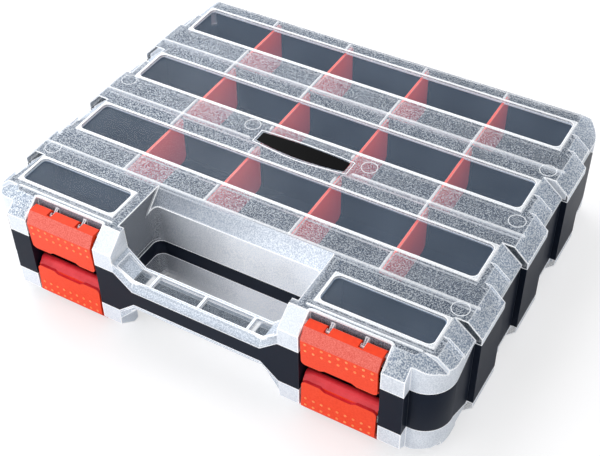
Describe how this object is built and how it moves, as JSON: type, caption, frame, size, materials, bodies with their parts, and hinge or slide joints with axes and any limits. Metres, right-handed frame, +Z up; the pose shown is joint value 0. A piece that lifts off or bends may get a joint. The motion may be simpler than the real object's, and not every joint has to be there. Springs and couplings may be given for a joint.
{
  "type": "double-sided sorting box",
  "caption": "Flat double-sided parts organiser: black tray with removable red dividers, clear hinged lids on both faces, snap latches and a carry handle.",
  "frame": {"origin": "centre of the footprint, at the level of the lower lid's window rims on which the box lies", "axes": "+X to the right along the latch side, +Y from the handle to the hinges, +Z up through the upper lid"},
  "size_m": [0.32, 0.2664, 0.08],
  "materials": {
    "tray_black": "fine moulded texture, blue-black",
    "lid_clear": "frosted translucent polypropylene with clear panes",
    "latch_red": "moulded, orange-red, satin",
    "divider_red": "moulded, coral red, satin",
    "badge_black": "glossy black, bare",
    "pin_steel": "bright drawn wire"
  },
  "bodies": {
    "tray": {"tray": "tray_black", "top_divider_11": "divider_red", "top_divider_12": "divider_red", "top_divider_13": "divider_red", "top_divider_14": "divider_red", "top_divider_21": "divider_red", "top_divider_22": "divider_red", "top_divider_23": "divider_red", "top_divider_24": "divider_red", "top_divider_31": "divider_red", "top_divider_32": "divider_red", "top_divider_33": "divider_red", "top_divider_34": "divider_red", "bottom_divider_11": "divider_red", "bottom_divider_12": "divider_red", "bottom_divider_13": "divider_red", "bottom_divider_14": "divider_red", "bottom_divider_21": "divider_red", "bottom_divider_22": "divider_red", "bottom_divider_23": "divider_red", "bottom_divider_24": "divider_red", "bottom_divider_31": "divider_red", "bottom_divider_32": "divider_red", "bottom_divider_33": "divider_red", "bottom_divider_34": "divider_red", "top_hinge_pin_left": "pin_steel", "top_hinge_pin_right": "pin_steel", "bottom_hinge_pin_left": "pin_steel", "bottom_hinge_pin_right": "pin_steel"},
    "top_lid": {"top_lid": "lid_clear", "badge_plate": "badge_black"},
    "bottom_lid": {"bottom_lid": "lid_clear"},
    "top_latch_left": {"top_latch_left": "latch_red"},
    "top_latch_right": {"top_latch_right": "latch_red"},
    "bottom_latch_left": {"bottom_latch_left": "latch_red"},
    "bottom_latch_right": {"bottom_latch_right": "latch_red"}
  },
  "joints": [
    {"name": "top_lid_hinge", "type": "hinge", "parent": "tray", "child": "top_lid", "pos_m": [0, 0.1302, 0.0563], "axis": [-1, 0, 0], "range_deg": [0, 110]},
    {"name": "bottom_lid_hinge", "type": "hinge", "parent": "tray", "child": "bottom_lid", "pos_m": [0, 0.1302, 0.0237], "axis": [1, 0, 0], "range_deg": [0, 110]},
    {"name": "top_latch_left_hinge", "type": "hinge", "parent": "top_lid", "child": "top_latch_left", "pos_m": [-0.0962, -0.1233, 0.0732], "axis": [-1, 0, 0], "range_deg": [0, 110]},
    {"name": "top_latch_right_hinge", "type": "hinge", "parent": "top_lid", "child": "top_latch_right", "pos_m": [0.0962, -0.1233, 0.0732], "axis": [-1, 0, 0], "range_deg": [0, 110]},
    {"name": "bottom_latch_left_hinge", "type": "hinge", "parent": "bottom_lid", "child": "bottom_latch_left", "pos_m": [-0.0962, -0.1233, 0.0068], "axis": [1, 0, 0], "range_deg": [0, 110]},
    {"name": "bottom_latch_right_hinge", "type": "hinge", "parent": "bottom_lid", "child": "bottom_latch_right", "pos_m": [0.0962, -0.1233, 0.0068], "axis": [1, 0, 0], "range_deg": [0, 110]}
  ]
}
